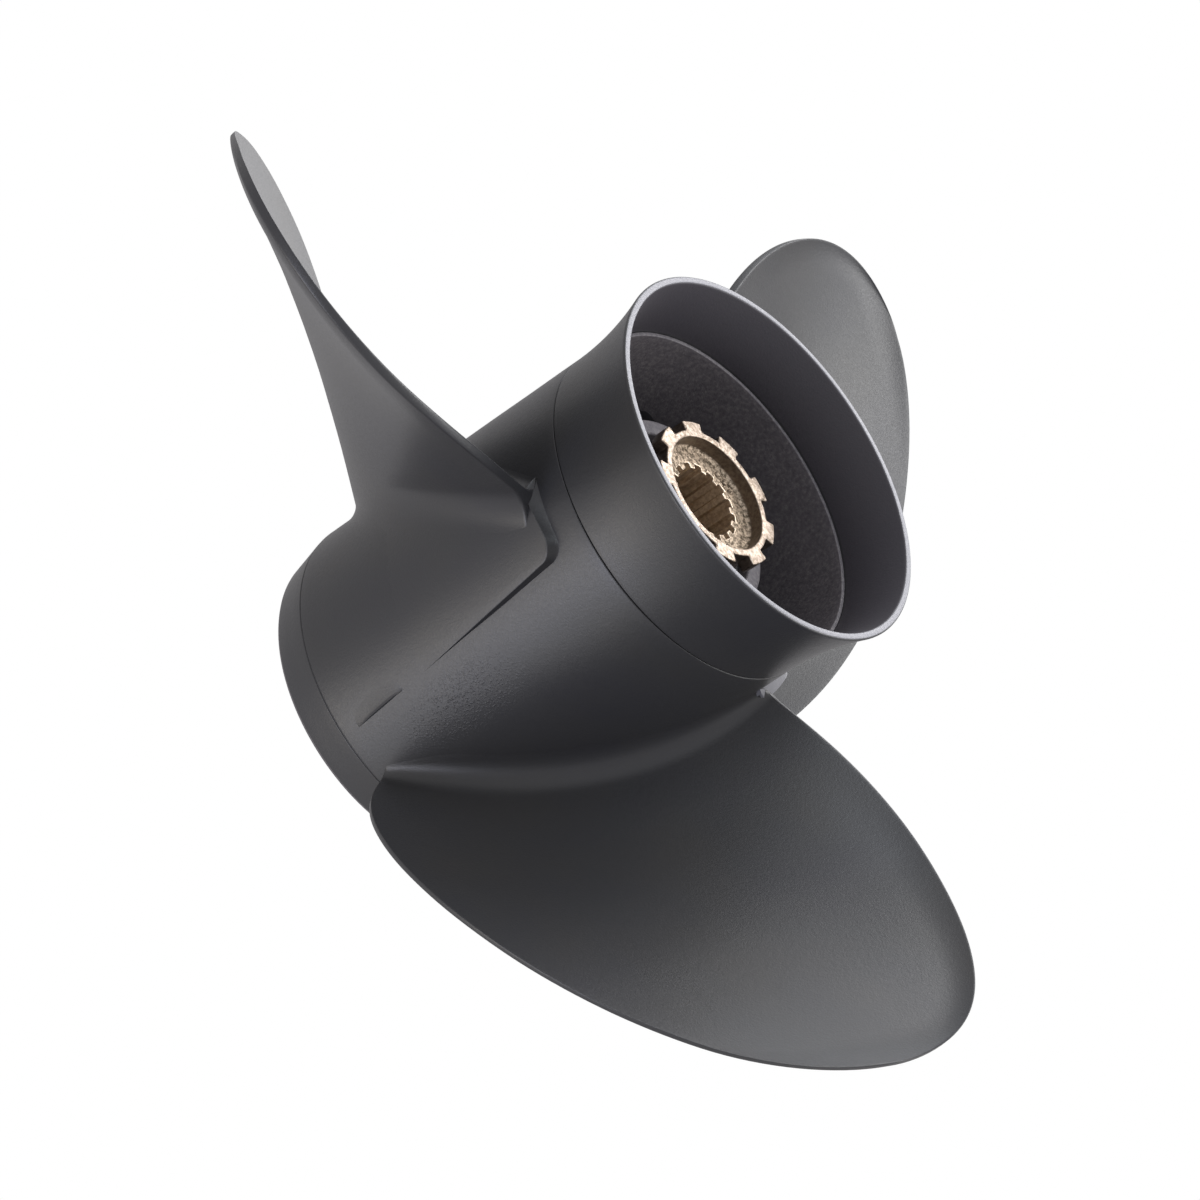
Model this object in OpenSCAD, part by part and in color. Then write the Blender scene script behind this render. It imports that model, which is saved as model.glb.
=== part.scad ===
// Three-blade through-hub-exhaust boat propeller. Millimetres.
// +Z runs along the shaft axis and points aft. The origin is on that axis,
// in the plane of the barrel's front edge. Blade 1 points along +Y.

/* [Barrel] */
// outside radius of the barrel at its front edge
front_edge_r = 50.6; // [46:0.1:56]
// length of the tapered front band
front_band_l = 13.4; // [8:0.1:20]
// outside radius where the front band ends
barrel_front_r = 53.5; // [48:0.1:60]
// outside radius where the diffuser ring begins
barrel_aft_r = 52.3; // [46:0.1:60]
// distance from the front edge to the diffuser ring
barrel_l = 115.1; // [90:0.1:140]
// radius of the plain bore that fits over the gearcase end
socket_r = 47; // [42:0.1:50]
// depth of that plain bore
socket_l = 14; // [8:0.1:20]
// inside radius of the exhaust passage behind the socket
passage_front_r = 49; // [44:0.1:54]
// inside radius at the aft end of the barrel
passage_aft_r = 49.8; // [44:0.1:54]
// outside radius of the spigot that carries the diffuser ring
spigot_r = 51; // [46:0.1:56]
// length of that spigot
spigot_l = 12.8; // [6:0.1:20]

/* [Diffuser ring] */
// whole length of the propeller along the axis
overall_l = 147.5; // [120:0.1:180]
// outside radius of the flared rim
rim_r = 57.6; // [50:0.1:70]
// inside radius of the flared rim
mouth_r = 55.2; // [48:0.1:66]
// rounding of the rim edge
rim_edge = 0.6; // [0:0.1:1]
// how sharply the flare opens towards the rim
flare_power = 2.04; // [1:0.01:4]

/* [Blades] */
// outside radius of the propeller
tip_r = 168.3; // [120:0.1:200]
// distance advanced in one turn
pitch = 428; // [300:1:600]
// place of the blade root middle along the axis
root_z = 48.3; // [30:0.1:80]
// aft lean of the blade, per unit of radius
rake = 0.341; // [0:0.001:0.6]
// extra lean towards the tip, per millimetre
rake_curl = 0.00107; // [0:0.00001:0.01]
// rise of the blade edges above its middle, per square radian
camber = 24.7; // [0:0.1:60]
// lift of the middle of the blade towards the aft face, falling to nothing at the tip
mid_lift = 4.9; // [0:0.1:10]
// height of the cup, the aft curl along the trailing edge
cup_h = 1.6; // [0:0.1:4]
// width of the cup
cup_w = 9; // [4:0.5:20]
// greatest thickness at the root
root_t = 8.6; // [5:0.1:16]
// greatest thickness at the tip
tip_t = 2.6; // [1.5:0.1:6]
// thickness of the leading edge
lead_t = 1.4; // [0.8:0.1:4]
// thickness of the trailing edge
trail_t = 2.2; // [0.8:0.1:4]
// extra thickness of the root fillet at the barrel
fillet_t = 9; // [0:0.1:16]
// height over which that fillet dies away
fillet_h = 4.5; // [1:0.1:10]

/* [Hub] */
// inside radius of the hub tube
hub_bore_r = 25.4; // [20:0.05:32]
// outside radius of the hub tube
hub_r = 30.5; // [26:0.1:40]
// front end of the hub tube
hub_front_z = 21; // [16:0.1:40]
// aft end of the hub tube
hub_aft_z = 115; // [80:0.1:125]
// thickness of each rib
rib_t = 7; // [4:0.1:14]
// aft end of the ribs
rib_aft_z = 88; // [50:0.1:110]

/* [Cushion] */
// running gap between the rubber bush and the hub bore
bush_gap = 0.05; // [0.01:0.01:0.1]
// front end of the rubber bush
bush_front_z = 23; // [16:0.1:40]
// aft end of the rubber bush
bush_aft_z = 111; // [80:0.1:120]

/* [Splined sleeve] */
// outside radius of the sleeve
sleeve_r = 20; // [16:0.1:24]
// front end of the sleeve
sleeve_front_z = 16; // [14:0.1:30]
// aft end of the sleeve
sleeve_aft_z = 127; // [110:0.1:140]
// radius over the castellations
castle_r = 22.9; // [20:0.1:25]
// number of castellations
castle_count = 9; // [6:1:12]
// axial length of the castellations
castle_l = 4.6; // [2:0.1:8]
// width of a castellation where it leaves the ring
castle_w = 7.1; // [3:0.1:10]
// turn of the castellations about the axis
castle_turn = 2; // [0:0.5:40]
// inside radius of the nut recess
cup_r = 17.9; // [14:0.1:19]
// depth of the nut recess
cup_l = 5; // [2:0.1:10]
// rounding at the floor of the nut recess
cup_fillet = 1.2; // [0:0.1:3]
// radius of the plain pilot bore at the front
pilot_r = 13; // [12:0.05:16]
// length of that pilot bore
pilot_l = 12; // [6:0.1:30]
// radius of the spline crests in the bore
spline_minor_r = 10.6; // [8:0.05:14]
// radius of the spline grooves in the bore
spline_major_r = 12.2; // [9:0.05:15]
// number of splines
spline_count = 15; // [10:1:20]
// width of one spline groove
spline_w = 2.5; // [1:0.1:5]
// turn of the splines about the axis
spline_turn = 3.6; // [0:0.1:24]

/* [Hidden] */
blade_count = 3;
blade_step = 360 / blade_count;
first_blade = 90;
span = tip_r - barrel_aft_r;
spigot_z = barrel_l + spigot_l;
flare_l = overall_l - barrel_l;
mouth_l = overall_l - spigot_z;
cup_floor_z = sleeve_aft_z - cup_l;
// radius below the barrel surface at which the blade solid starts
buried_r = 49.6;
// grid of the blade surface
radial_steps = 32;
chord_steps = 24;
ring_points = 2 * (chord_steps + 1);

// ---- blade shape ----

// fraction of the way from root to tip
function along(r) = max(0, (r - barrel_aft_r) / span);
// angle of the mid-chord line, swept back towards the tip
function mid_a(s) = first_blade - 9.34 * s + 26.53 * s * s - 7.56 * s * s * s;
// half of the angle the blade covers at one radius
function half_a(s) = (37.24 + 11.97 * s - 41.31 * s * s + 22 * s * s * s)
    * sqrt(max(0, 1 - pow(s, 2.847)));
// distance from the trailing edge or the tip, whichever is nearer
function edge_gap(r, s, c) =
    let (chord_gap = (1 - c) * half_a(s) * PI / 180 * r * 1.1)
    let (tip_gap = max(0.01, tip_r - r))
    chord_gap * tip_gap / sqrt(chord_gap * chord_gap + tip_gap * tip_gap);
// height of the blade surface along the axis
function lift(r, a, s, c) = root_z + rake * (r - barrel_aft_r)
    + rake_curl * pow(r - barrel_aft_r, 2)
    + pitch / 360 * (a - first_blade)
    + camber * pow((a - mid_a(s)) * PI / 180, 2)
    + mid_lift * (1 - pow(s, 2.6)) * (1 - c * c)
    + cup_h * min(1, max(0, 3 * s - 0.6))
        * (pow(max(0, 1 - edge_gap(r, s, c) / cup_w), 2) - pow(max(0, c), 2) * (1 - pow(s, 6)));
// slope of that surface in the direction of rotation
function steep(r, a, s) = (pitch / (2 * PI)
    + 2 * camber * (a - mid_a(s)) * PI / 180) / r;
// thickness across the blade; c runs from -1 at the leading to 1 at the trailing edge
function edge_t(c) = lead_t + (trail_t - lead_t) * (c + 1) / 2;
function body_t(s) = root_t * (1 - s) + tip_t * s;
function fillet(r, c) = fillet_t * exp(-max(0, r - barrel_aft_r) / fillet_h)
    * (1 - 0.75 * pow(abs(c), 6));
function thick(r, s, c) = edge_t(c)
    + (body_t(s) - edge_t(c)) * pow(max(0, 1 - c * c), 0.75)
    + fillet(r, c);
// one point of the blade skin; side is 1 for the aft face and -1 for the front face
function skin(r, c, side) =
    let (s = along(r))
    let (a = mid_a(s) + c * half_a(s))
    let (m = steep(r, a, s))
    let (h = side * thick(r, s, c) / 2 / sqrt(1 + m * m))
    let (turn = -h * m / r * 180 / PI)
    [r * cos(a + turn), r * sin(a + turn), lift(r, a, s, c) + h];
// radii of the grid, closer together at the root and at the tip
function station(i) =
    let (x = i / radial_steps)
    buried_r + (tip_r - 0.02 - buried_r) * (1 - pow(1 - pow(x, 1.35), 1.9));
function chord(j) = -cos(180 * j / chord_steps);

module blade_form() {
    points = [for (i = [0:radial_steps]) each concat(
        [for (j = [0:chord_steps]) skin(station(i), chord(j), 1)],
        [for (j = [chord_steps:-1:0]) skin(station(i), chord(j), -1)])];
    last = radial_steps * ring_points;
    sides = [for (i = [0:radial_steps - 1]) for (k = [0:ring_points - 1])
        let (n = (k + 1) % ring_points)
        let (p = i * ring_points)
        let (q = p + ring_points)
        each [[p + k, q + k, q + n], [p + k, q + n, p + n]]];
    root_cap = [for (j = [0:chord_steps - 1])
        each [[j, j + 1, ring_points - 2 - j], [j, ring_points - 2 - j, ring_points - 1 - j]]];
    tip_cap = [for (t = root_cap) [last + t[0], last + t[2], last + t[1]]];
    polyhedron(points, concat(sides, root_cap, tip_cap), convexity = 8);
}

// space taken by the barrel and the ring, for trimming the blade roots
module barrel_space() {
    rotate_extrude($fn = 180)
        polygon([[0, -1], [front_edge_r, -1], [front_edge_r, 0],
            [barrel_front_r, front_band_l], [barrel_aft_r, barrel_l], [0, barrel_l]]);
}

module blade(number) {
    rotate([0, 0, blade_step * (number - 1)])
        difference() {
            blade_form();
            barrel_space();
        }
}

// ---- one module per sub-part ----

module barrel() {
    color([0.12, 0.12, 0.13])
        rotate_extrude($fn = 180)
            polygon([
                [socket_r + 0.8, 0],
                [front_edge_r - 0.8, 0],
                [front_edge_r, 0.8],
                [barrel_front_r - 0.3, front_band_l - 0.9],
                [barrel_front_r - 0.5, front_band_l - 0.5],
                [barrel_front_r, front_band_l],
                [barrel_aft_r, barrel_l],
                [spigot_r, barrel_l],
                [spigot_r, spigot_z],
                [passage_aft_r, spigot_z],
                [passage_front_r, socket_l + 4],
                [socket_r, socket_l],
                [socket_r, 0.8]]);
}

module diffuser_ring() {
    steps = 14;
    outer = [for (i = [0:steps]) let (t = i / steps)
        [barrel_aft_r + (rim_r - barrel_aft_r) * pow(t, flare_power),
         barrel_l + (flare_l - rim_edge) * t]];
    inner = [for (i = [steps:-1:0]) let (t = i / steps)
        [spigot_r + (mouth_r - spigot_r) * pow(t, 1.7),
         spigot_z + (mouth_l - rim_edge) * t]];
    color([0.12, 0.12, 0.13])
        rotate_extrude($fn = 180)
            polygon(concat(
                [[spigot_r, barrel_l]],
                outer,
                [[rim_r - rim_edge, overall_l], [mouth_r + rim_edge, overall_l]],
                inner));
}

module blade_1() {
    color([0.12, 0.12, 0.13]) blade(1);
}

module blade_2() {
    color([0.12, 0.12, 0.13]) blade(2);
}

module blade_3() {
    color([0.12, 0.12, 0.13]) blade(3);
}

module inner_hub() {
    chamfer = 1;
    color([0.2, 0.2, 0.21])
        rotate_extrude($fn = 120)
            polygon([
                [hub_bore_r, hub_front_z],
                [hub_r - chamfer, hub_front_z],
                [hub_r, hub_front_z + chamfer],
                [hub_r, hub_aft_z - chamfer],
                [hub_r - chamfer, hub_aft_z],
                [hub_bore_r, hub_aft_z]]);
}

// straight web from the hub tube to the barrel wall
module rib(number) {
    rib_front_z = hub_front_z + 2;
    rotate([0, 0, first_blade + blade_step * (number - 1)])
        intersection() {
            translate([0, -rib_t / 2, rib_front_z])
                cube([60, rib_t, rib_aft_z - rib_front_z]);
            difference() {
                rotate_extrude($fn = 180)
                    polygon([[0, socket_l + 4], [passage_front_r, socket_l + 4],
                        [passage_aft_r, spigot_z], [0, spigot_z]]);
                cylinder(r = hub_r, h = overall_l, $fn = 120);
            }
        }
}

module rib_1() {
    color([0.16, 0.16, 0.17]) rib(1);
}

module rib_2() {
    color([0.16, 0.16, 0.17]) rib(2);
}

module rib_3() {
    color([0.16, 0.16, 0.17]) rib(3);
}

module rubber_bush() {
    bush_r = hub_bore_r - bush_gap;
    dish = 1.5;
    color([0.05, 0.05, 0.05])
        rotate_extrude($fn = 120)
            polygon([
                [sleeve_r, bush_front_z],
                [bush_r - dish, bush_front_z],
                [bush_r, bush_front_z + dish],
                [bush_r, bush_aft_z - dish],
                [bush_r - dish, bush_aft_z],
                [sleeve_r, bush_aft_z]]);
}

module castellation() {
    tip_w = castle_w + 0.9;
    linear_extrude(castle_l)
        polygon([
            [sleeve_r - 1, -castle_w / 2],
            [castle_r + 1, -tip_w / 2],
            [castle_r + 1, tip_w / 2],
            [sleeve_r - 1, castle_w / 2]]);
}

// raised dots on the recess floor, standing in for cast size marks
module cast_dots() {
    dot_r = 0.55;
    dot_h = 0.35;
    for (a = [-30, -20, -10, 90, 100, 110, 200, 210, 220])
        rotate([0, 0, a])
            translate([14.6, 0, cup_floor_z - 0.2])
                cylinder(r = dot_r, h = dot_h + 0.2, $fn = 24);
}

module spline_sleeve() {
    edge = 0.8;
    color([0.72, 0.55, 0.33])
        difference() {
            union() {
                difference() {
                    union() {
                        rotate_extrude($fn = 120)
                            polygon([[5, sleeve_front_z], [sleeve_r - edge, sleeve_front_z],
                                [sleeve_r, sleeve_front_z + edge],
                                [sleeve_r, sleeve_aft_z], [5, sleeve_aft_z]]);
                        intersection() {
                            for (k = [0:castle_count - 1])
                                rotate([0, 0, castle_turn + k * 360 / castle_count])
                                    translate([0, 0, sleeve_aft_z - castle_l])
                                        castellation();
                            cylinder(r = castle_r, h = overall_l, $fn = 120);
                        }
                    }
                    rotate_extrude($fn = 120)
                        polygon([[0, cup_floor_z], [cup_r - cup_fillet, cup_floor_z],
                            [cup_r - 0.35 * cup_fillet, cup_floor_z + 0.35 * cup_fillet],
                            [cup_r, cup_floor_z + cup_fillet],
                            [cup_r, sleeve_aft_z + 1], [0, sleeve_aft_z + 1]]);
                }
                cast_dots();
            }
            translate([0, 0, sleeve_front_z - 1])
                cylinder(r = spline_minor_r, h = overall_l, $fn = 120);
            translate([0, 0, sleeve_front_z - 1])
                cylinder(r = pilot_r, h = pilot_l + 1, $fn = 120);
            for (k = [0:spline_count - 1])
                rotate([0, 0, spline_turn + k * 360 / spline_count])
                    translate([spline_minor_r - 1, -spline_w / 2, sleeve_front_z + pilot_l - 1])
                        cube([spline_major_r - spline_minor_r + 1, spline_w, overall_l]);
        }
}

// ---- assembly ----

barrel();
diffuser_ring();
blade_1();
blade_2();
blade_3();
inner_hub();
rib_1();
rib_2();
rib_3();
rubber_bush();
spline_sleeve();
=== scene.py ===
"""Three-blade through-hub-exhaust boat propeller: its looks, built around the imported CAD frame.

Shapes are worked out in millimetres and degrees and turned into metres by mesh_piece().
+Z points aft along the shaft axis, and z is 0 at the front edge of the barrel.
"""
import math

import bmesh
import bpy
import numpy as np
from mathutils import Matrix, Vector


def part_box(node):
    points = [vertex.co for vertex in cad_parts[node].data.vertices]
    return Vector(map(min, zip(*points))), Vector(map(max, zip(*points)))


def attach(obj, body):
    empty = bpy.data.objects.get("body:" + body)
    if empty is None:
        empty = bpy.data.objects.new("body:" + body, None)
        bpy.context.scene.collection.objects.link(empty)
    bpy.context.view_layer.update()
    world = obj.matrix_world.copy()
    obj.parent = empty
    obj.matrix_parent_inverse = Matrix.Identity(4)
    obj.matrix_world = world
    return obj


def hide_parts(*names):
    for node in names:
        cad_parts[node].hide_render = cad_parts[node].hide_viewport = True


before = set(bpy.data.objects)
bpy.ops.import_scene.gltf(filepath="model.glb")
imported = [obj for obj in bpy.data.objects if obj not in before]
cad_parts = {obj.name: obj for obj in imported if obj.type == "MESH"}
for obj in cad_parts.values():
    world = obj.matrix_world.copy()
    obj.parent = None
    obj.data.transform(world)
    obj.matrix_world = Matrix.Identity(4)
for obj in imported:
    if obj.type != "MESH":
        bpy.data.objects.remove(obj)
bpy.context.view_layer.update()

MM = 0.001
BLADES = 3
BLADE_STEP = 360 / BLADES


def corner_mm(node, high):
    """Highest or lowest corner of a CAD node, in millimetres."""
    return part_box(node)[1 if high else 0] / MM


# ---- sizes, from the frame where it has them ----

OVERALL_L = corner_mm("diffuser_ring", True).z
BARREL_L = corner_mm("diffuser_ring", False).z
SPIGOT_Z = corner_mm("barrel", True).z
RIM_R = corner_mm("diffuser_ring", True).x
HUB_R = corner_mm("inner_hub", True).x
HUB_FRONT_Z = corner_mm("inner_hub", False).z
HUB_AFT_Z = corner_mm("inner_hub", True).z
BUSH_R = corner_mm("rubber_bush", True).x
BUSH_FRONT_Z = corner_mm("rubber_bush", False).z
BUSH_AFT_Z = corner_mm("rubber_bush", True).z
SLEEVE_FRONT_Z = corner_mm("spline_sleeve", False).z
SLEEVE_AFT_Z = corner_mm("spline_sleeve", True).z
RIB_FRONT_Z = corner_mm("rib_1", False).z
RIB_AFT_Z = corner_mm("rib_1", True).z

FRONT_EDGE_R = 50.6
FRONT_BAND_L = 13.4
BARREL_FRONT_R = 53.5
BARREL_AFT_R = 52.3
SOCKET_R = 47.0
SOCKET_L = 14.0
PASSAGE_FRONT_R = 49.0
PASSAGE_AFT_R = 49.8
SPIGOT_R = 51.0
MOUTH_R = 55.2
FLARE_POWER = 2.04
RIB_T = 7.0
SLEEVE_R = 20.0
CASTLE_R = 22.9
CASTLE_COUNT = 9
CASTLE_L = 4.6
CASTLE_W = 7.1
CASTLE_TURN = 2.0
CUP_R = 17.9
CUP_L = 5.0
PILOT_R = 13.0
PILOT_L = 12.0
SPLINE_MINOR_R = 10.6
SPLINE_MAJOR_R = 12.2
SPLINE_COUNT = 15
SPLINE_W = 2.5
SPLINE_TURN = 3.6

TIP_R = 168.3
PITCH = 428.0
ROOT_Z = 48.3
RAKE = 0.341
RAKE_CURL = 0.00107
CAMBER = 24.7
MID_LIFT = 4.9
CUP_H = 1.6
CUP_W = 9.0
ROOT_T = 8.6
TIP_T = 2.6
LEAD_T = 1.6
TRAIL_T = 2.6
EDGE_ROUND = 0.9
FIRST_BLADE = 90.0

# the raised pad that each mould segment leaves between a blade and the parting line:
# its foot runs along PAD_AFT_Z, turns a corner and goes forward, drifting away from the blade
PAD_AFT_Z = 106.2
PAD_START_A = 31.0
PAD_SIDE_A = 56.8
PAD_DRIFT = 0.1
PAD_CORNER = 5.5
PAD_FADE_Z = 47.0
PAD_H = 3.1
PAD_ANCHOR = (33.5, 96.5)


# ---- mesh helpers ----

def rounded(corners, steps=6):
    """Closed outline through corners (x, y, radius), each corner turned into an arc."""
    out = []
    for i, (x, y, radius) in enumerate(corners):
        here = np.array([x, y], float)
        before = np.array(corners[i - 1][:2], float) - here
        after = np.array(corners[(i + 1) % len(corners)][:2], float) - here
        if radius <= 0:
            out.append(here)
            continue
        d0, d1 = before / np.linalg.norm(before), after / np.linalg.norm(after)
        half = math.acos(np.clip(d0 @ d1, -1, 1)) / 2
        reach = min(radius / math.tan(half), 0.49 * np.linalg.norm(before), 0.49 * np.linalg.norm(after))
        radius = reach * math.tan(half)
        bisector = (d0 + d1) / np.linalg.norm(d0 + d1)
        centre = here + bisector * radius / math.sin(half)
        start, end = here + d0 * reach - centre, here + d1 * reach - centre
        swing = math.atan2(start[0] * end[1] - start[1] * end[0], start @ end)
        for k in range(steps + 1):
            a = swing * k / steps
            c, s = math.cos(a), math.sin(a)
            out.append(centre + np.array([c * start[0] - s * start[1], s * start[0] + c * start[1]]))
    return np.array(out)


def turned(points, degrees):
    """Points turned about the shaft axis."""
    a = math.radians(degrees)
    out = points.copy()
    out[..., 0] = math.cos(a) * points[..., 0] - math.sin(a) * points[..., 1]
    out[..., 1] = math.sin(a) * points[..., 0] + math.cos(a) * points[..., 1]
    return out


def ripple(points, size, height):
    """A smooth, repeatable unevenness, as a sand casting has: one number per point."""
    rng = np.random.default_rng(7)
    total = np.zeros(points.shape[:-1])
    for _ in range(9):
        direction = rng.normal(size=3)
        direction *= 2 * math.pi / (size * rng.uniform(0.6, 1.6) * np.linalg.norm(direction))
        total += np.sin(points @ direction + rng.uniform(0, 6.28))
    return height * total / 3


def grid_faces(rows, columns, wrap_rows=False, wrap_columns=True):
    """Four-sided faces of a grid whose points are numbered row by row."""
    faces = []
    for i in range(rows if wrap_rows else rows - 1):
        for j in range(columns if wrap_columns else columns - 1):
            i2, j2 = (i + 1) % rows, (j + 1) % columns
            faces.append((i * columns + j, i2 * columns + j, i2 * columns + j2, i * columns + j2))
    return faces


def mesh_piece(name, points, faces, body, material, replaced=(), sharp=35):
    """One piece of the visual model, riding on a CAD body and standing for CAD nodes."""
    mesh = bpy.data.meshes.new(name)
    mesh.from_pydata((np.asarray(points).reshape(-1, 3) * MM).tolist(), [], faces)
    shape = bmesh.new()
    shape.from_mesh(mesh)
    bmesh.ops.remove_doubles(shape, verts=shape.verts, dist=0.002 * MM)
    bmesh.ops.recalc_face_normals(shape, faces=shape.faces)
    shape.to_mesh(mesh)
    shape.free()
    mesh.validate()
    mesh.shade_smooth()
    mesh.set_sharp_from_angle(angle=math.radians(sharp))
    piece = bpy.data.objects.new(name, mesh)
    bpy.context.scene.collection.objects.link(piece)
    piece.data.materials.append(material)
    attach(piece, body)
    if replaced:
        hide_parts(*replaced)
    return piece


def second_material(piece, material, wanted):
    """Gives a further material to the faces whose (radius, z), in millimetres, are wanted."""
    piece.data.materials.append(material)
    for polygon in piece.data.polygons:
        centre = polygon.center / MM
        if wanted(math.hypot(centre.x, centre.y), centre.z):
            polygon.material_index = len(piece.data.materials) - 1


def revolved(profile, segments=256, uneven=0.0):
    """Points and faces of a closed (radius, z) profile turned about the shaft axis."""
    a = np.arange(segments) * 2 * math.pi / segments
    r, z = np.array(profile).T
    points = np.stack([np.outer(r, np.cos(a)), np.outer(r, np.sin(a)),
                       np.repeat(z[:, None], segments, 1)], -1)
    if uneven:
        push = ripple(points, 26, uneven)
        points[..., 0] += push * np.cos(a)
        points[..., 1] += push * np.sin(a)
    return points, grid_faces(len(profile), segments, wrap_rows=True)


def loop_of(outline, z):
    """A flat outline raised to height z."""
    return np.column_stack([outline, np.full(len(outline), z)])


def ring_of(outline, radius, z):
    """A circle with one point at the angle of each point of an outline."""
    a = np.arctan2(outline[:, 1], outline[:, 0])
    return np.column_stack([radius * np.cos(a), radius * np.sin(a), np.full(len(a), z)])


def inset(outline, distance):
    """A closed anticlockwise outline moved inwards by a small distance."""
    ahead = np.roll(outline, -1, 0) - outline
    ahead /= np.maximum(np.linalg.norm(ahead, axis=1), 1e-9)[:, None]
    normal = np.column_stack([-ahead[:, 1], ahead[:, 0]])
    normal = normal + np.roll(normal, 1, 0)
    normal /= np.linalg.norm(normal, axis=1)[:, None]
    return outline + normal * distance


def spaced(profile, gap):
    """A closed profile with points added wherever two are further apart than gap."""
    out = []
    for p, q in zip(profile, np.roll(profile, -1, 0)):
        n = max(1, int(np.linalg.norm(q - p) / gap))
        out.extend(p + (q - p) * k / n for k in range(n))
    return np.array(out)


# ---- materials ----

def node_material(name):
    material = bpy.data.materials.new(name)
    material.use_nodes = True
    tree = material.node_tree
    return material, tree, tree.nodes["Principled BSDF"], tree.nodes.new("ShaderNodeTexCoord")


def noise(tree, coordinates, scale, detail=3.0, rough=0.5):
    node = tree.nodes.new("ShaderNodeTexNoise")
    node.inputs["Scale"].default_value = scale
    node.inputs["Detail"].default_value = detail
    node.inputs["Roughness"].default_value = rough
    tree.links.new(coordinates.outputs["Object"], node.inputs["Vector"])
    return node


def spread(tree, source, low, high, from_low=0.3, from_high=0.7):
    """Turns a 0-1 texture value into the range low to high."""
    node = tree.nodes.new("ShaderNodeMapRange")
    for socket, value in (("From Min", from_low), ("From Max", from_high), ("To Min", low), ("To Max", high)):
        node.inputs[socket].default_value = value
    tree.links.new(source, node.inputs["Value"])
    return node.outputs["Result"]


def tints(tree, source, colours, low=0.3, high=0.7):
    """A colour ramp through evenly spaced colours, the first at low and the last at high."""
    ramp = tree.nodes.new("ShaderNodeValToRGB")
    while len(ramp.color_ramp.elements) < len(colours):
        ramp.color_ramp.elements.new(0.5)
    for k, colour in enumerate(colours):
        ramp.color_ramp.elements[k].position = low + (high - low) * k / (len(colours) - 1)
        ramp.color_ramp.elements[k].color = (*colour, 1)
    tree.links.new(source, ramp.inputs["Fac"])
    return ramp.outputs["Color"]


def bump(tree, height, strength, distance, under=None):
    node = tree.nodes.new("ShaderNodeBump")
    node.inputs["Strength"].default_value = strength
    node.inputs["Distance"].default_value = distance
    tree.links.new(height, node.inputs["Height"])
    if under is not None:
        tree.links.new(under, node.inputs["Normal"])
    return node.outputs["Normal"]


def near(tree, place, centre, reach):
    """1 at a spot on the surface, falling smoothly to 0 at reach (x, y, z), all in millimetres."""
    shift = tree.nodes.new("ShaderNodeMapping")
    shift.vector_type = "TEXTURE"
    shift.inputs["Location"].default_value = [v * MM for v in centre]
    shift.inputs["Scale"].default_value = [v * MM for v in reach]
    tree.links.new(place.outputs["Object"], shift.inputs["Vector"])
    distance = tree.nodes.new("ShaderNodeVectorMath")
    distance.operation = "LENGTH"
    tree.links.new(shift.outputs["Vector"], distance.inputs[0])
    return spread(tree, distance.outputs["Value"], 1, 0, 0.3, 1)


def product(tree, first, second):
    node = tree.nodes.new("ShaderNodeMath")
    node.operation = "MULTIPLY"
    tree.links.new(first, node.inputs[0])
    tree.links.new(second, node.inputs[1])
    return node.outputs["Value"]


def paint(name, colours, rough_low, rough_high, grit_strength, colour_scale=18):
    """Sprayed satin paint over a sand casting: orange peel, faint cloudiness, grit and small pits."""
    material, tree, shader, place = node_material(name)
    cloud = noise(tree, place, colour_scale, 4)
    peel = noise(tree, place, 600, 2)
    grit = noise(tree, place, 1500, 3, 0.7)
    pits = noise(tree, place, 1500, 2)
    tree.links.new(tints(tree, cloud.outputs["Fac"], colours), shader.inputs["Base Color"])
    tree.links.new(spread(tree, grit.outputs["Fac"], rough_low, rough_high), shader.inputs["Roughness"])
    under = bump(tree, peel.outputs["Fac"], 0.12, 0.0002)
    under = bump(tree, grit.outputs["Fac"], grit_strength, 0.0001, under)
    spots = spread(tree, pits.outputs["Fac"], 0, 1, 0.55, 0.75)
    cluster = near(tree, place, PIT_SPOT, PIT_REACH)
    under = bump(tree, product(tree, spots, cluster), 0.45, 0.0002, under)
    tree.links.new(under, shader.inputs["Normal"])
    return material


def brass(name, dull, bright, rough_low, rough_high, grain, height):
    """Bare brass, machined or as cast."""
    material, tree, shader, place = node_material(name)
    shader.inputs["Metallic"].default_value = 1.0
    cloud = noise(tree, place, 900, 3, 0.7)
    grains = noise(tree, place, grain, 4, 0.6)
    tree.links.new(tints(tree, cloud.outputs["Fac"], [dull, bright], 0.4, 0.6), shader.inputs["Base Color"])
    tree.links.new(spread(tree, grains.outputs["Fac"], rough_low, rough_high), shader.inputs["Roughness"])
    tree.links.new(bump(tree, grains.outputs["Fac"], 0.5, height), shader.inputs["Normal"])
    return material


def moulded_rubber():
    material, tree, shader, place = node_material("moulded_rubber")
    bloom = noise(tree, place, 90, 4)
    grain = noise(tree, place, 1800, 3)
    tree.links.new(tints(tree, bloom.outputs["Fac"], [(0.012, 0.012, 0.013), (0.024, 0.023, 0.023)]),
                   shader.inputs["Base Color"])
    tree.links.new(spread(tree, bloom.outputs["Fac"], 0.62, 0.8), shader.inputs["Roughness"])
    tree.links.new(bump(tree, grain.outputs["Fac"], 0.3, 0.0001), shader.inputs["Normal"])
    return material


# a patch of coarser sand casting on the barrel, low between two blades
PIT_SPOT = (36, 39, 52)
PIT_REACH = (11, 11, 26)

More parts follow.
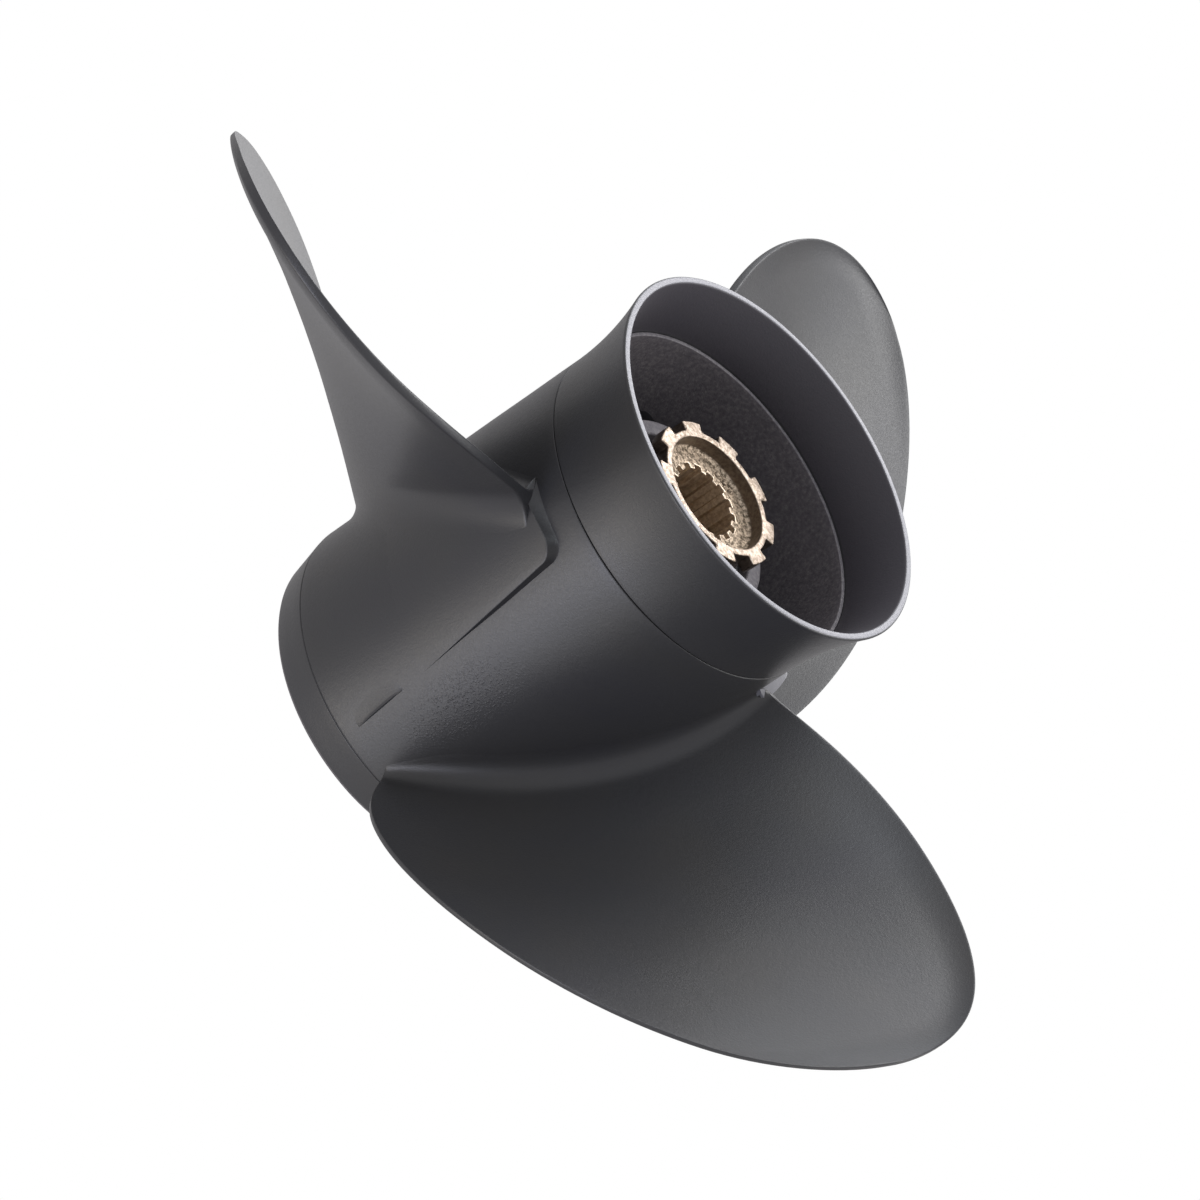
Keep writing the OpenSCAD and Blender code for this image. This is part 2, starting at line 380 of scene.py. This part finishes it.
PAINT = paint("satin_black", [(0.024, 0.024, 0.028), (0.027, 0.027, 0.029), (0.030, 0.029, 0.029)],
              0.35, 0.45, 0.5)
# a lighter copy of the satin black for the inside of the flare: painted light, lifting the inner wall above what its
# lighting gives
INNER_PAINTED_LIGHT = paint("inner_black_painted_light", [(0.040, 0.037, 0.045), (0.046, 0.042, 0.049)], 0.48, 0.58, 0.5)
# a lighter, speckled copy of the black paint for the exhaust passage, hub and ribs: painted light, brightening the
# inside of the barrel where little light reaches
PASSAGE_PAINTED_LIGHT = paint("passage_painted_light", [(0.072, 0.065, 0.073), (0.098, 0.089, 0.097), (0.14, 0.128, 0.132)],
                0.5, 0.68, 1.0, colour_scale=900)
# a light grey copy of the black paint: a painted highlight, used on the rim's end face and on blade 1's pad wall near
# the trailing root
PAINTED_HIGHLIGHT = paint("painted_highlight_grey", [(0.11, 0.11, 0.125), (0.16, 0.16, 0.175)], 0.30, 0.40, 0.2)
BRASS = brass("machined_brass", (0.27, 0.215, 0.165), (0.53, 0.445, 0.37), 0.42, 0.58, 1500, 0.0001)
# a darker copy of the brass for the sides of the teeth and the recess wall: painted shade
BRASS_PAINTED_SHADE = brass("brass_painted_shade", (0.15, 0.12, 0.095), (0.23, 0.19, 0.15), 0.34, 0.5, 1800, 0.00005)
# a lighter copy of the brass for the splined bore: broached metal, lifted with painted light inside the bore
BRASS_BORE_PAINTED_LIGHT = brass("broached_brass_painted_light", (0.42, 0.34, 0.26), (0.62, 0.52, 0.41), 0.32, 0.48, 1800, 0.00005)
CAST_BRASS = brass("cast_brass_floor", (0.11, 0.085, 0.06), (0.50, 0.405, 0.31), 0.5, 0.7, 1300, 0.0006)
RUBBER = moulded_rubber()


# ---- barrel and diffuser ring ----

def barrel_r(z):
    """Outside radius of the barrel at a height along the axis."""
    return np.interp(z, [0, FRONT_BAND_L, BARREL_L], [FRONT_EDGE_R, BARREL_FRONT_R, BARREL_AFT_R])


def make_barrel():
    profile = rounded([
        (SOCKET_R, 0, 0.8),
        (FRONT_EDGE_R, 0, 1.6),
        (BARREL_FRONT_R - 0.15, FRONT_BAND_L - 0.5, 0.3),
        (BARREL_FRONT_R - 0.45, FRONT_BAND_L - 0.15, 0.15),
        (BARREL_FRONT_R - 0.02, FRONT_BAND_L + 0.2, 0.3),
        (BARREL_AFT_R, BARREL_L - 0.1, 0.3),
        (SPIGOT_R, BARREL_L - 0.1, 0),
        (SPIGOT_R, SPIGOT_Z, 0.25),
        (PASSAGE_AFT_R, SPIGOT_Z, 0.35),
        (PASSAGE_FRONT_R, SOCKET_L + 4, 4),
        (SOCKET_R, SOCKET_L, 1.2)], 5)
    points, faces = revolved(spaced(profile, 3), 288, 0.035)
    piece = mesh_piece("barrel_casting", points, faces, "casting", PAINT, ["barrel"])
    # the inside of the passage gets the lighter paint, as painted light
    second_material(piece, PASSAGE_PAINTED_LIGHT, lambda r, z: r < SPIGOT_R - 0.1 and z > 1)


def inner_r(z):
    """Inside radius of the flared mouth."""
    return SPIGOT_R + 0.02 + (MOUTH_R - SPIGOT_R) * ((z - SPIGOT_Z) / (OVERALL_L - SPIGOT_Z)) ** 1.7


def make_diffuser():
    steps = 22
    t = np.linspace(0, 1, steps)
    flare_l = OVERALL_L - BARREL_L
    outer = [(BARREL_AFT_R + (RIM_R - BARREL_AFT_R) * k ** FLARE_POWER,
              BARREL_L + 0.1 + (flare_l - 0.1) * k, 0) for k in t]
    inner = [(SPIGOT_R + 0.02 + (MOUTH_R - SPIGOT_R) * k ** 1.7,
              SPIGOT_Z + 0.6 + (OVERALL_L - SPIGOT_Z - 0.6) * k, 0) for k in t]
    outer[0] = (*outer[0][:2], 0.35)
    outer[-1] = (*outer[-1][:2], 0.75)
    inner[-1] = (*inner[-1][:2], 0.75)
    corners = [(SPIGOT_R + 0.02, BARREL_L + 0.1, 0), *outer, *inner[::-1]]
    points, faces = revolved(rounded(corners, 5), 288)
    piece = mesh_piece("diffuser_casting", points, faces, "casting", PAINT,
                       ["diffuser_ring"])
    # the inside of the flare gets the lighter copy of the paint, as painted light
    second_material(piece, INNER_PAINTED_LIGHT, lambda r, z: z > SPIGOT_Z + 0.2 and r < inner_r(z) + 0.15)
    # the rim's aft end face gets the painted highlight grey
    second_material(piece, PAINTED_HIGHLIGHT, lambda r, z: z > OVERALL_L - 0.08)


# ---- blades ----

def along(r):
    return np.clip((r - BARREL_AFT_R) / (TIP_R - BARREL_AFT_R), 0, 1)


def mid_angle(s):
    return np.radians(-9.34 * s + 26.53 * s ** 2 - 7.56 * s ** 3)


def half_angle(s):
    return np.radians(37.24 + 11.97 * s - 41.31 * s ** 2 + 22 * s ** 3) * np.sqrt(np.maximum(1 - s ** 2.847, 0))


def middle(r, c):
    """Angle from the root middle (radians) and height of the blade's middle surface."""
    s = along(r)
    half, mid = half_angle(s), mid_angle(s)
    a = mid + c * half
    out = r - BARREL_AFT_R
    z = ROOT_Z + RAKE * out + RAKE_CURL * out ** 2 + PITCH / (2 * math.pi) * a + CAMBER * (c * half) ** 2
    chord_gap = (1 - c) * half * r * 1.1
    tip_gap = np.maximum(TIP_R - r, 0.01)
    gap = chord_gap * tip_gap / np.hypot(chord_gap, tip_gap)
    cup = np.maximum(1 - gap / CUP_W, 0) ** 2 - np.maximum(c, 0) ** 2 * (1 - s ** 6)
    return a, z + MID_LIFT * (1 - s ** 2.6) * (1 - c ** 2) + CUP_H * np.clip(3 * s - 0.6, 0, 1) * cup


def skin(r, x, edge, side, push):
    """Points of the blade skin at radius r.

    x is the place across the flat of the blade (-1 leading, 1 trailing), edge the angle round the
    nose (0 at its tip, 90 on the flat), side 1 for the aft face, and push an outward growth.
    """
    s = along(r)
    half = half_angle(s)
    chord = np.maximum(half * r * math.sqrt(2), 1e-6)
    nose = np.minimum(EDGE_ROUND / chord, 0.6)
    round_x, round_t = np.cos(edge) ** 0.5, np.sin(edge) ** 0.5
    on_flat = edge >= math.pi / 2 - 1e-9
    c = np.where(on_flat, x * (1 - nose), np.sign(x) * (1 - nose * (1 - round_x)))
    a, z = middle(r, c)
    edge_t = LEAD_T + (TRAIL_T - LEAD_T) * (c + 1) / 2
    body_t = ROOT_T * (1 - s) + TIP_T * s
    near_tip = np.clip((r - (TIP_R - EDGE_ROUND)) / EDGE_ROUND, 0, 1)
    t = (edge_t + (body_t - edge_t) * np.maximum(1 - c ** 2, 0) ** 0.75) * (1 - near_tip ** 4) ** 0.25
    m = (PITCH / (2 * math.pi) + 2 * CAMBER * c * half) / r
    k = np.sqrt(1 + m ** 2)
    grow = side * (t / 2 + push) * round_t
    turn = a - grow * m / k / r
    return np.stack([r * np.cos(turn), r * np.sin(turn), z + grow / k], -1)


def pad_height(z):
    """Height of the raised pad over the barrel."""
    return PAD_H * np.clip((z - PAD_FADE_Z) / (104 - PAD_FADE_Z), 0, 1.02) ** 1.15


def blade_columns():
    """Place, nose angle and side of each column round a blade section."""
    nose = np.radians(np.linspace(0, 90, 7))
    flat = -np.cos(np.linspace(0, math.pi, 46))
    lead = [(-1.0, e) for e in nose]
    middle_part = [(x, math.pi / 2) for x in flat[1:-1]]
    trail = [(1.0, e) for e in nose[::-1]]
    one_side = lead + middle_part + trail
    top = [(x, e, 1.0) for x, e in one_side]
    under = [(x, e, -1.0) for x, e in one_side[::-1][1:-1]]
    return np.array(top + under).T


def make_blade(number):
    """A blade with its root fillet, cut off square at both edges as the mould leaves it."""
    x, edge, side = blade_columns()
    shrink = np.where(side > 0, 5.0 * np.abs(x) ** 3, np.where(x < 0, 4.5 * -x, -1.5 * x ** 6))
    fillet = np.where(side > 0, 9.0, 7.2) - shrink
    root_a, root_z = middle(BARREL_AFT_R, x)
    foot_z = root_z + side * 0.5 * (fillet + 2)
    on_pad = 0.5 * (1 - side * np.sin(edge) ** 0.5)
    base = barrel_r(foot_z) + pad_height(foot_z) * on_pad
    rows = [skin(base - 2.0, x, edge, side, fillet + 1.5), skin(base - 0.12, x, edge, side, fillet + 1.2)]
    for b in np.radians(np.linspace(0, 90, 13)):
        rows.append(skin(base + fillet * (1 - math.cos(b)), x, edge, side, fillet * (1 - math.sin(b))))
    start = base + fillet
    for g in np.sin(np.linspace(0, math.pi / 2, 64))[1:]:
        rows.append(skin(start + (TIP_R - start) * g, x, edge, side, np.zeros_like(x)))
    points = np.array(rows)
    points[..., 2] += ripple(points, 40, 0.05)
    above = np.linalg.norm(points[..., :2], axis=-1) - base
    points[..., 2] += 1.0 * np.clip((x - 0.85) / 0.15, 0, 1) ** 2 * np.exp(-np.maximum(above, 0) / 4)
    faces = grid_faces(len(rows), len(x))
    faces.append(tuple(range(len(x))))
    points = turned(points, FIRST_BLADE + BLADE_STEP * (number - 1))
    return mesh_piece(f"blade_casting_{number}", points, faces, "casting", PAINT,
                      [f"blade_{number}"], sharp=50)


def ledge(foot, draft, inner, heights):
    """One section across a ledge, from its hidden inner end over the crest to its foot.

    foot and inner are (angle, z); heights gives the height along the way, from 0 inside to 1.
    """
    (foot_a, foot_z), (inner_a, inner_z) = foot, inner
    across = np.array([math.radians(foot_a - inner_a) * BARREL_AFT_R, foot_z - inner_z])
    length = np.linalg.norm(across)
    h = float(heights(1.0))
    shown = max(h, 0.03)
    edge = min(0.45, 0.35 * shown)
    crest = length - draft * shown - edge
    section = [(crest * k, float(heights(k * crest / length))) for k in np.linspace(0, 1, 14)]
    for b in np.radians([20, 40, 60, 78]):
        section.append((crest + edge * math.sin(b), h - edge * (1 - math.cos(b))))
    for out, up in ((-0.18 * draft * shown, 0.2), (-0.02 * draft * shown, 0.05), (0.35, -0.05)):
        section.append((length + out, h * up - 0.02))
    section += [(length + 0.6, -1.2), (0.0, -2.5)]
    points = []
    for d, up in section:
        a = math.radians(inner_a) + across[0] / length * d / BARREL_AFT_R
        z = inner_z + across[1] / length * d
        r = float(barrel_r(z)) + up
        points.append((r * math.cos(a), r * math.sin(a), z))
    return points


def pad_side_a(z):
    return PAD_SIDE_A + PAD_DRIFT * (PAD_AFT_Z - z)


def ledge_piece(name, rows, number):
    points = np.array(rows)
    columns = points.shape[1]
    last = (len(rows) - 1) * columns
    faces = grid_faces(len(rows), columns)
    faces.append(tuple(range(columns))[::-1])
    faces.append(tuple(last + i for i in range(columns)))
    points = turned(points, FIRST_BLADE + BLADE_STEP * (number - 1))
    return mesh_piece(f"{name}_{number}", points, faces, "casting", PAINT, sharp=60)


def make_pad(number):
    """The raised pad between a blade's trailing root and the parting line, with its drafted wall."""
    corner_a = math.degrees(PAD_CORNER / BARREL_AFT_R)
    rows = []
    for a in np.linspace(PAD_START_A, PAD_SIDE_A - corner_a, 16):
        rise = min(1.0, (a - PAD_START_A) / 5) ** 0.7
        rows.append(ledge((a, PAD_AFT_Z), 0.8, PAD_ANCHOR,
                          lambda k: pad_height(PAD_ANCHOR[1] + (PAD_AFT_Z - PAD_ANCHOR[1]) * k) * rise - 0.02))
    for b in np.radians(np.linspace(10, 90, 9)):
        foot = (PAD_SIDE_A + PAD_DRIFT * PAD_CORNER - corner_a * (1 - math.sin(b)),
                PAD_AFT_Z - PAD_CORNER * (1 - math.cos(b)))
        draft = 0.8 - 0.58 * math.degrees(b) / 90
        rows.append(ledge(foot, draft, PAD_ANCHOR,
                          lambda k: pad_height(PAD_ANCHOR[1] + (foot[1] - PAD_ANCHOR[1]) * k) - 0.02))
    across = np.linspace(-1, 1, 400)
    line_a, line_z = middle(BARREL_AFT_R, across)
    for z in np.linspace(PAD_AFT_Z - PAD_CORNER - 2, PAD_FADE_Z - 3, 34):
        blade_a = math.degrees(np.interp(z, line_z, line_a))
        inner = (min(PAD_ANCHOR[0], blade_a), min(z, PAD_ANCHOR[1]))
        rows.append(ledge((pad_side_a(z), z), 0.22, inner,
                          lambda k: pad_height(inner[1] + (z - inner[1]) * k) - 0.02))
    piece = ledge_piece("parting_pad", rows, number)
    # only blade 1's pad wall near the trailing root gets the painted highlight; the other pads keep the plain black
    if number == 1:
        second_material(piece, PAINTED_HIGHLIGHT, lambda r, z: z > PAD_AFT_Z - 2.6)


def make_parting_line(number):
    """The faint step that carries the parting line on towards the front band."""
    rows = []
    for z in np.linspace(19, 39, 16):
        foot_a = pad_side_a(z)
        swell = math.sin(math.pi * (z - 19) / 20) ** 0.5
        rows.append(ledge((foot_a, z), 0.3, (foot_a - 11, z), lambda k: 0.62 * swell * k ** 4 - 0.06))
    return ledge_piece("parting_line", rows, number)


# ---- hub, ribs and bush ----

def make_hub():
    profile = rounded([
        (BUSH_R + 0.05, HUB_FRONT_Z, 0.6),
        (HUB_R, HUB_FRONT_Z, 1.2),
        (HUB_R, HUB_AFT_Z, 1.2),
        (BUSH_R + 0.05, HUB_AFT_Z, 0.8)], 5)
    points, faces = revolved(spaced(profile, 5), 192, 0.02)
    # the hub is painted in the lighter passage paint, a painted light
    return mesh_piece("hub_casting", points, faces, "casting", PASSAGE_PAINTED_LIGHT, ["inner_hub"])


def make_rib(number):
    """A web with fillets where it meets the hub and the barrel wall."""
    fillet = 5.0
    inner_r, outer_r = HUB_R - 0.3, PASSAGE_FRONT_R + 0.5
    outline = rounded([(-1, RIB_FRONT_Z, 2.2 / RIB_T), (1, RIB_FRONT_Z, 2.2 / RIB_T),
                       (1, RIB_AFT_Z, 2.2 / RIB_T), (-1, RIB_AFT_Z, 2.2 / RIB_T)], 5)
    rows = []
    for k in np.linspace(0, 1, 25):
        r = inner_r + (outer_r - inner_r) * k
        near = max(0.0, fillet - min(r - inner_r, outer_r - r))
        grow = fillet - math.sqrt(fillet ** 2 - near ** 2)
        flare = 1 + 2 * grow / RIB_T
        centre = (RIB_FRONT_Z + RIB_AFT_Z) / 2
        turn = outline[:, 0] * RIB_T / 2 * flare / r
        z = centre + (outline[:, 1] - centre) * (1 + grow / (RIB_AFT_Z - RIB_FRONT_Z))
        rows.append(np.column_stack([r * np.cos(turn), r * np.sin(turn), z]))
    points = turned(np.array(rows), FIRST_BLADE + BLADE_STEP * (number - 1))
    n = len(outline)
    faces = grid_faces(len(rows), n)
    faces.append(tuple(range(n)))
    faces.append(tuple((len(rows) - 1) * n + i for i in range(n))[::-1])
    # the ribs are painted in the lighter passage paint, a painted light
    return mesh_piece(f"rib_casting_{number}", points, faces, "casting", PASSAGE_PAINTED_LIGHT,
                      [f"rib_{number}"])


def make_bush():
    groove = 0.8
    profile = rounded([
        (SLEEVE_R, BUSH_FRONT_Z, 0),
        (BUSH_R, BUSH_FRONT_Z, 1.5),
        (BUSH_R, BUSH_AFT_Z, 1.5),
        (SLEEVE_R + 3.6, BUSH_AFT_Z, 0.4),
        (SLEEVE_R + 3.2, BUSH_AFT_Z - groove, 0.3),
        (SLEEVE_R + 1.6, BUSH_AFT_Z - groove, 0.3),
        (SLEEVE_R + 1.2, BUSH_AFT_Z, 0.4),
        (SLEEVE_R, BUSH_AFT_Z, 0)], 4)
    points, faces = revolved(profile, 144)
    return mesh_piece("moulded_bush", points, faces, "drive_core", RUBBER, ["rubber_bush"])


# ---- splined sleeve ----

def castle_outline():
    """Outer outline of the castellated ring, anticlockwise."""
    corners = []
    for k in range(CASTLE_COUNT):
        a = math.radians(CASTLE_TURN + 360 * k / CASTLE_COUNT)
        c, s = math.cos(a), math.sin(a)
        foot_y, tip_y = CASTLE_W / 2, CASTLE_W / 2 + 0.45
        foot_x, tip_x = math.sqrt(SLEEVE_R ** 2 - foot_y ** 2), math.sqrt(CASTLE_R ** 2 - tip_y ** 2)
        tooth = [(foot_x, -foot_y, 0.6), (tip_x, -tip_y, 0.45)]
        for b in np.linspace(-tip_y, tip_y, 8)[1:-1]:
            tooth.append((math.sqrt(CASTLE_R ** 2 - b ** 2), b, 0))
        tooth += [(tip_x, tip_y, 0.45), (foot_x, foot_y, 0.6)]
        for x, y, radius in tooth:
            corners.append((c * x - s * y, s * x + c * y, radius))
        start = math.asin(foot_y / SLEEVE_R)
        gap = 2 * math.pi / CASTLE_COUNT - 2 * start
        for g in np.linspace(0, 1, 8)[1:-1]:
            b = a + start + gap * g
            corners.append((SLEEVE_R * math.cos(b), SLEEVE_R * math.sin(b), 0))
    return rounded(corners, 4)


def make_castle():
    """The aft end of the sleeve: castellated ring, nut recess and the outer part of its floor."""
    outline = castle_outline()
    top, bottom = SLEEVE_AFT_Z, SLEEVE_AFT_Z - CASTLE_L
    floor = SLEEVE_AFT_Z - CUP_L
    soft = 0.4
    rows = [ring_of(outline, SLEEVE_R, bottom)]
    for b in np.radians([0, 30, 60, 90]):
        rows.append(loop_of(inset(outline, soft * (1 - math.sin(b))), bottom + soft * (1 - math.cos(b))))
    for b in np.radians([90, 60, 30, 0]):
        rows.append(loop_of(inset(outline, soft * (1 - math.sin(b))), top - soft * (1 - math.cos(b))))
    for b in np.radians([0, 30, 60, 90]):
        rows.append(ring_of(outline, CUP_R + 0.5 * (1 - math.sin(b)), top - 0.5 * (1 - math.cos(b))))
    fillet = 1.4
    for b in np.radians([90, 67, 45, 22, 0]):
        rows.append(ring_of(outline, CUP_R - fillet * (1 - math.sin(b)), floor + fillet * (1 - math.cos(b))))
    for r, z in ((15.2, floor), (14.0, floor), (14.0, 100), (SLEEVE_R, 100)):
        rows.append(ring_of(outline, r, z))
    points = np.array(rows)
    faces = grid_faces(len(rows), len(outline), wrap_rows=True)
    piece = mesh_piece("castellated_ring", points, faces, "drive_core", BRASS, sharp=32)
    # everything below the tooth tops gets the darker brass, a painted shade
    second_material(piece, BRASS_PAINTED_SHADE, lambda r, z: z < top - 0.35)
    second_material(piece, CAST_BRASS, lambda r, z: abs(z - floor) < 1 and r < CUP_R)


def spline_outline(grow):
    """Outline of the splined bore, anticlockwise, moved outwards by grow."""
    corners = []
    half = SPLINE_W / 2 + grow
    crest, deep = SPLINE_MINOR_R + grow, SPLINE_MAJOR_R + grow
    for k in range(SPLINE_COUNT):
        a = math.radians(SPLINE_TURN + 360 * k / SPLINE_COUNT)
        c, s = math.cos(a), math.sin(a)
        x = math.sqrt(crest ** 2 - half ** 2)
        for px, py, radius in ((x, -half, 0.25), (deep, -half, 0.3), (deep, half, 0.3), (x, half, 0.25)):
            corners.append((c * px - s * py, s * px + c * py, radius))
        start = math.asin(half / crest)
        gap = 2 * math.pi / SPLINE_COUNT - 2 * start
        for g in (0.35, 0.65):
            b = a + start + gap * g
            corners.append((crest * math.cos(b), crest * math.sin(b), 0))
    return rounded(corners, 4)


def make_sleeve():
    """The body of the sleeve with its splined bore."""
    floor = SLEEVE_AFT_Z - CUP_L
    bore = spline_outline(0)
    spline_front_z = SLEEVE_FRONT_Z + PILOT_L
    rows = [ring_of(bore, 14.0, floor), ring_of(bore, 13.2, floor)]
    for b in np.radians([0, 30, 60, 90]):
        rows.append(loop_of(spline_outline(0.35 * (1 - math.sin(b))), floor - 0.35 * (1 - math.cos(b))))
    rows.append(loop_of(bore, (floor + spline_front_z) / 2))
    for b in np.radians([90, 45, 0]):
        rows.append(loop_of(spline_outline(0.3 * (1 - math.sin(b))), spline_front_z + 0.3 * (1 - math.cos(b))))
    profile = [(PILOT_R, spline_front_z), (PILOT_R, SLEEVE_FRONT_Z + 0.6), (PILOT_R + 0.2, SLEEVE_FRONT_Z + 0.15),
               (PILOT_R + 0.6, SLEEVE_FRONT_Z), (SLEEVE_R - 0.8, SLEEVE_FRONT_Z),
               (SLEEVE_R - 0.2, SLEEVE_FRONT_Z + 0.2), (SLEEVE_R - 0.02, SLEEVE_FRONT_Z + 0.8),
               (SLEEVE_R - 0.02, 105), (14.0, 105)]
    rows += [ring_of(bore, r, z) for r, z in profile]
    points = np.array(rows)
    faces = [f[::-1] for f in grid_faces(len(rows), len(bore), wrap_rows=True)]
    piece = mesh_piece("splined_sleeve", points, faces, "drive_core", BRASS,
                       ["spline_sleeve"], sharp=32)
    second_material(piece, CAST_BRASS, lambda r, z: z > floor - 0.02)
    # the splined bore gets the lighter brass, as painted light
    second_material(piece, BRASS_BORE_PAINTED_LIGHT, lambda r, z: SLEEVE_FRONT_Z + 1 < z <= floor - 0.02)


def make_marks():
    """Raised dots cast into the recess floor, in place of size marks."""
    floor = SLEEVE_AFT_Z - CUP_L
    points, faces = [], []
    for start in (-30, 90, 210):
        for step in (0, 12, 24):
            a = math.radians(start + step)
            centre = np.array([14.5 * math.cos(a), 14.5 * math.sin(a)])
            first = len(points)
            for b in np.radians([0, 30, 60, 80]):
                for k in range(16):
                    q = 2 * math.pi * k / 16
                    r = 1.0 * math.cos(b)
                    points.append((centre[0] + r * math.cos(q), centre[1] + r * math.sin(q),
                                   floor - 0.1 + 0.95 * math.sin(b)))
            faces += [tuple(first + i for i in f) for f in grid_faces(4, 16)]
            faces.append(tuple(first + 48 + i for i in range(16)))
            faces.append(tuple(first + i for i in range(16))[::-1])
    return mesh_piece("cast_marks", np.array(points), faces, "drive_core", CAST_BRASS)


make_barrel()
make_diffuser()
for blade_number in range(1, BLADES + 1):
    make_blade(blade_number)
    make_pad(blade_number)
    make_parting_line(blade_number)
    make_rib(blade_number)
make_hub()
make_bush()
make_castle()
make_sleeve()
make_marks()


# ---- floor, light and camera ----

def make_floor():
    """Plain white floor that only the camera sees; from below it is clear."""
    size = 12
    mesh = bpy.data.meshes.new("floor")
    mesh.from_pydata([(-size, -size, -0.0005), (size, -size, -0.0005), (size, size, -0.0005), (-size, size, -0.0005)],
                     [], [(0, 1, 2, 3)])
    floor = bpy.data.objects.new("floor", mesh)
    bpy.context.scene.collection.objects.link(floor)
    material = bpy.data.materials.new("white_floor")
    material.use_nodes = True
    tree = material.node_tree
    tree.nodes.clear()
    out = tree.nodes.new("ShaderNodeOutputMaterial")
    glow = tree.nodes.new("ShaderNodeEmission")
    glow.inputs["Strength"].default_value = 1.0
    clear = tree.nodes.new("ShaderNodeBsdfTransparent")
    mix = tree.nodes.new("ShaderNodeMixShader")
    facing = tree.nodes.new("ShaderNodeNewGeometry")
    tree.links.new(facing.outputs["Backfacing"], mix.inputs["Fac"])
    tree.links.new(glow.outputs["Emission"], mix.inputs[1])
    tree.links.new(clear.outputs["BSDF"], mix.inputs[2])
    tree.links.new(mix.outputs["Shader"], out.inputs["Surface"])
    mesh.materials.append(material)
    for ray in ("diffuse", "glossy", "transmission", "shadow", "volume_scatter"):
        setattr(floor, "visible_" + ray, False)


def make_world():
    """White behind everything the camera sees, and a soft grey room for what the surfaces reflect."""
    world = bpy.data.worlds.new("studio")
    bpy.context.scene.world = world
    world.use_nodes = True
    tree = world.node_tree
    tree.nodes.clear()
    out = tree.nodes.new("ShaderNodeOutputWorld")
    seen = tree.nodes.new("ShaderNodeBackground")
    seen.inputs["Color"].default_value = (1, 1, 1, 1)
    room = tree.nodes.new("ShaderNodeBackground")
    room.inputs["Color"].default_value = (1.0, 0.98, 1.0, 1)
    room.inputs["Strength"].default_value = 0.61
    path = tree.nodes.new("ShaderNodeLightPath")
    mix = tree.nodes.new("ShaderNodeMixShader")
    tree.links.new(path.outputs["Is Camera Ray"], mix.inputs["Fac"])
    tree.links.new(room.outputs["Background"], mix.inputs[1])
    tree.links.new(seen.outputs["Background"], mix.inputs[2])
    tree.links.new(mix.outputs["Shader"], out.inputs["Surface"])


def soft_light(name, direction, watts, tint=(1, 1, 1), size=0.7, distance=1.6):
    """A square soft light that faces the middle of the propeller."""
    light = bpy.data.lights.new(name, "AREA")
    light.shape = "SQUARE"
    light.size = size
    light.energy = watts
    light.color = tint
    lamp = bpy.data.objects.new(name, light)
    bpy.context.scene.collection.objects.link(lamp)
    towards = Vector(direction).normalized()
    lamp.location = Vector((0, 0, 0.07)) + towards * distance
    lamp.rotation_mode = "QUATERNION"
    lamp.rotation_quaternion = towards.to_track_quat("Z", "Y")


def make_camera():
    camera = bpy.data.objects.new("camera", bpy.data.cameras.new("camera"))
    bpy.context.scene.collection.objects.link(camera)
    camera.data.lens = 120
    camera.data.sensor_width = 36
    camera.location = (0.7678, 0.5885, 0.6712)
    camera.rotation_euler = [math.radians(a) for a in (42.174, -44.967, 165.038)]
    camera.data.clip_start = 0.05
    camera.data.clip_end = 60
    bpy.context.scene.camera = camera


make_floor()
make_world()
soft_light("aft_left", (-0.60, 0.25, 0.76), 15.3)
soft_light("aft_low", (-0.27, -0.52, 0.81), 10.5)
soft_light("overhead", (0.16, 0.0, 0.99), 10.5, (0.86, 0.93, 1.0))
soft_light("side", (0.79, 0.56, -0.26), 8.4, (0.78, 0.82, 1.0))
soft_light("barrel_streak", (0.74, 0.32, -0.59), 5.4, (1.0, 0.93, 0.82))
soft_light("front_fill", (0.50, 0.73, -0.46), 2.5)
soft_light("far_fill", (-0.32, -0.90, 0.29), 3.2, (0.9, 0.95, 1.0))
soft_light("rim_glint", (-0.682, -0.518, 0.517), 7, (0.97, 0.96, 1.0))
soft_light("backdrop", (-0.80, -0.54, 0.06), 5.5, size=1.4)
make_camera()
bpy.context.scene.view_settings.view_transform = "Standard"
